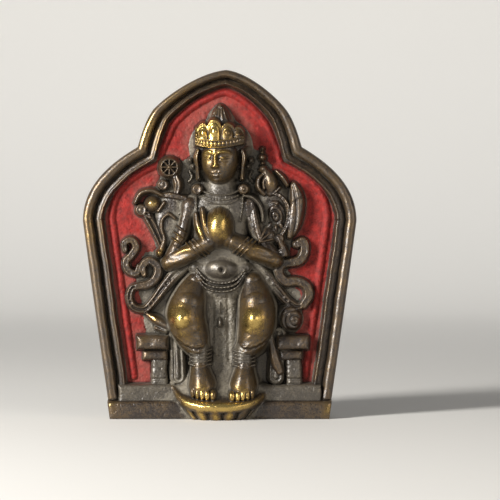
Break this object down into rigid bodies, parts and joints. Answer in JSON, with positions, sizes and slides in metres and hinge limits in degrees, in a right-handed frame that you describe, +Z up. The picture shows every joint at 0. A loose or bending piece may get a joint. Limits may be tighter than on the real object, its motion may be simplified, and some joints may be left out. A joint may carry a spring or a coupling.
{
  "type": "talisman",
  "caption": "Small cast brass talisman plaque: three-lobed arch frame round a seated figure in high relief with joined hands, on a lotus pedestal and stepped plinth.",
  "frame": {"origin": "centre of the base rectangle, on the surface the plinth stands on", "axes": "+Z up, from the plinth to the tip of the arch; the relief faces -Y and the flat back +Y; +X to the viewer's right"},
  "size_m": [0.059, 0.012, 0.075],
  "materials": {
    "worn_brass": "worn bright on the high points",
    "dark_brass": "dark brown patina",
    "dusty_brass": "patina under pale grey dust",
    "red_pigment": "matt mineral pigment film"
  },
  "bodies": {
    "root": {"foot_l": "worn_brass", "foot_r": "worn_brass", "hand_r": "worn_brass", "hand_l": "worn_brass", "leg_l": "worn_brass", "leg_r": "worn_brass", "anklet_l": "dusty_brass", "anklet_r": "dusty_brass", "lotus_pedestal": "worn_brass", "forearm_l": "worn_brass", "forearm_r": "worn_brass", "crown": "worn_brass", "head": "worn_brass", "hair": "dark_brass", "topknot": "dark_brass", "earring_l": "dark_brass", "earring_r": "dark_brass", "ear_pearls_l": "dark_brass", "ear_pearls_r": "dark_brass", "belt": "dusty_brass", "belly": "dusty_brass", "skirt": "dusty_brass", "upper_arm_l": "dusty_brass", "upper_arm_r": "dusty_brass", "collar": "dusty_brass", "neck": "dusty_brass", "chest": "dusty_brass", "wheel": "dark_brass", "rosette_l": "dark_brass", "wheel_lotus": "dark_brass", "lotus_flower_l": "dark_brass", "lotus_stem_l": "dark_brass", "vase": "dark_brass", "lotus_flower_r": "dark_brass", "lotus_stem_r": "dark_brass", "lotus_leaf_r": "dark_brass", "elbow_ribbon_l": "dark_brass", "elbow_ribbon_r": "dark_brass", "scarf_l": "dark_brass", "scarf_r": "dark_brass", "sash_r": "dark_brass", "seat_cushion_l": "dark_brass", "seat_cushion_r": "dark_brass", "seat_slab_l": "dark_brass", "seat_slab_r": "dark_brass", "seat_moulding_l": "dark_brass", "seat_moulding_r": "dark_brass", "throne_leg_l": "dark_brass", "throne_leg_r": "dark_brass", "seat_cloth_l": "dusty_brass", "seat_cloth_r": "dusty_brass", "plinth_lower_l": "dark_brass", "plinth_lower_r": "dark_brass", "plinth_upper_l": "dark_brass", "plinth_upper_r": "dark_brass", "frame_outer_roll": "dark_brass", "frame_inner_fillet": "dark_brass", "pigment_field": "red_pigment", "halo_cord": "red_pigment", "back_plate": "dark_brass"}
  },
  "joints": []
}
